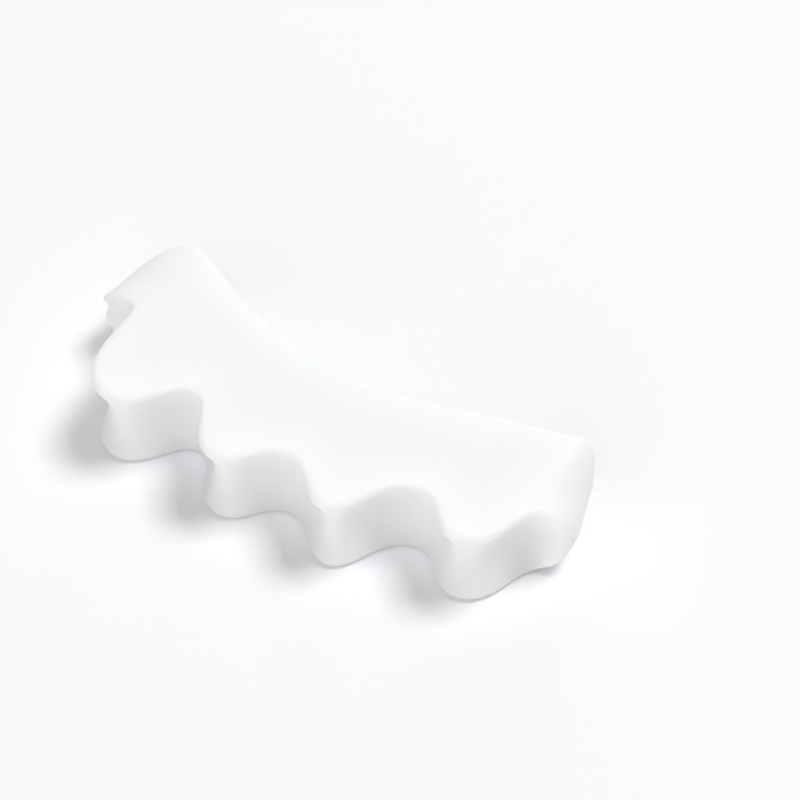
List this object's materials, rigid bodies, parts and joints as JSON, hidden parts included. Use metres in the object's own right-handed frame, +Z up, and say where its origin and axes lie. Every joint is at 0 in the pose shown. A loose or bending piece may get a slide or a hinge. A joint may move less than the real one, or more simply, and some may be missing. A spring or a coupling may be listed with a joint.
{
  "type": "toe separator",
  "caption": "Soft one-piece silicone comb whose prongs go between the toes and hold them apart.",
  "frame": {"origin": "middle of the underside, at the height of the surface that the comb lies on", "axes": "+X runs along the comb from the big toe's end to the little toe's end, -Y is where the prongs point, +Z is up"},
  "size_m": [0.1016, 0.0397, 0.0182],
  "materials": {
    "milky_silicone": "soft moulded silicone gel, milky white and slightly translucent, satin"
  },
  "bodies": {
    "root": {"toe_separator": "milky_silicone"}
  },
  "joints": []
}
